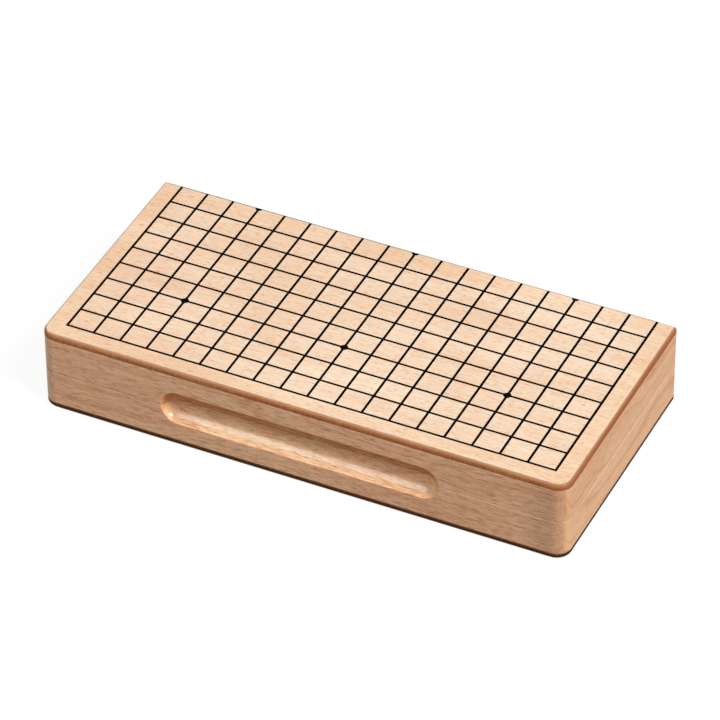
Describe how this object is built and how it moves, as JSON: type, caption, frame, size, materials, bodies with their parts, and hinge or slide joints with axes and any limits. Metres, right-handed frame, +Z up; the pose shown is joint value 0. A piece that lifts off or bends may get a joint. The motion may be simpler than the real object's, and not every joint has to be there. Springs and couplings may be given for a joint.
{
  "type": "folding go board",
  "caption": "Folding wooden go board, shut as a flat box: hinged halves with a printed grid outside, stone compartments inside and a finger recess in front.",
  "frame": {"origin": "bottom centre of the shut board's bounding box, hinge knuckles included", "axes": "+X along the fold, to the right seen from the front; -Y towards the front with the finger recess; +Z up"},
  "size_m": [0.2916, 0.1414, 0.0475],
  "materials": {
    "beech_veneer": "satin lacquered pale beech veneer, grain along the fold",
    "beech": "satin lacquered solid beech, grain along each rail",
    "inner_veneer": "plain beech balancing veneer",
    "fibreboard": "lacquered brown fibreboard edge",
    "grid_ink": "flat black printing ink",
    "brass": "plain brass",
    "magnet": "nickel plated"
  },
  "bodies": {
    "lower_half": {"lower_playing_face": "beech_veneer", "lower_grid_print": "grid_ink", "lower_panel_core": "fibreboard", "lower_inner_veneer": "inner_veneer", "lower_front_rail": "beech", "lower_back_rail": "beech", "lower_left_rail": "beech", "lower_right_rail": "beech", "lower_divider": "beech", "lower_magnets": "magnet", "lower_hinge_screws": "brass", "left_hinge_lower_leaf": "brass", "right_hinge_lower_leaf": "brass", "left_hinge_pin": "brass", "right_hinge_pin": "brass"},
    "upper_half": {"upper_playing_face": "beech_veneer", "upper_grid_print": "grid_ink", "upper_panel_core": "fibreboard", "upper_inner_veneer": "inner_veneer", "upper_front_rail": "beech", "upper_back_rail": "beech", "upper_left_rail": "beech", "upper_right_rail": "beech", "upper_divider": "beech", "upper_magnets": "magnet", "upper_hinge_screws": "brass", "left_hinge_upper_leaf": "brass", "right_hinge_upper_leaf": "brass"}
  },
  "joints": [
    {"name": "board_fold", "type": "hinge", "parent": "lower_half", "child": "upper_half", "pos_m": [0, 0.06893, 0.02375], "axis": [-1, 0, 0], "range_deg": [0, 180]}
  ]
}
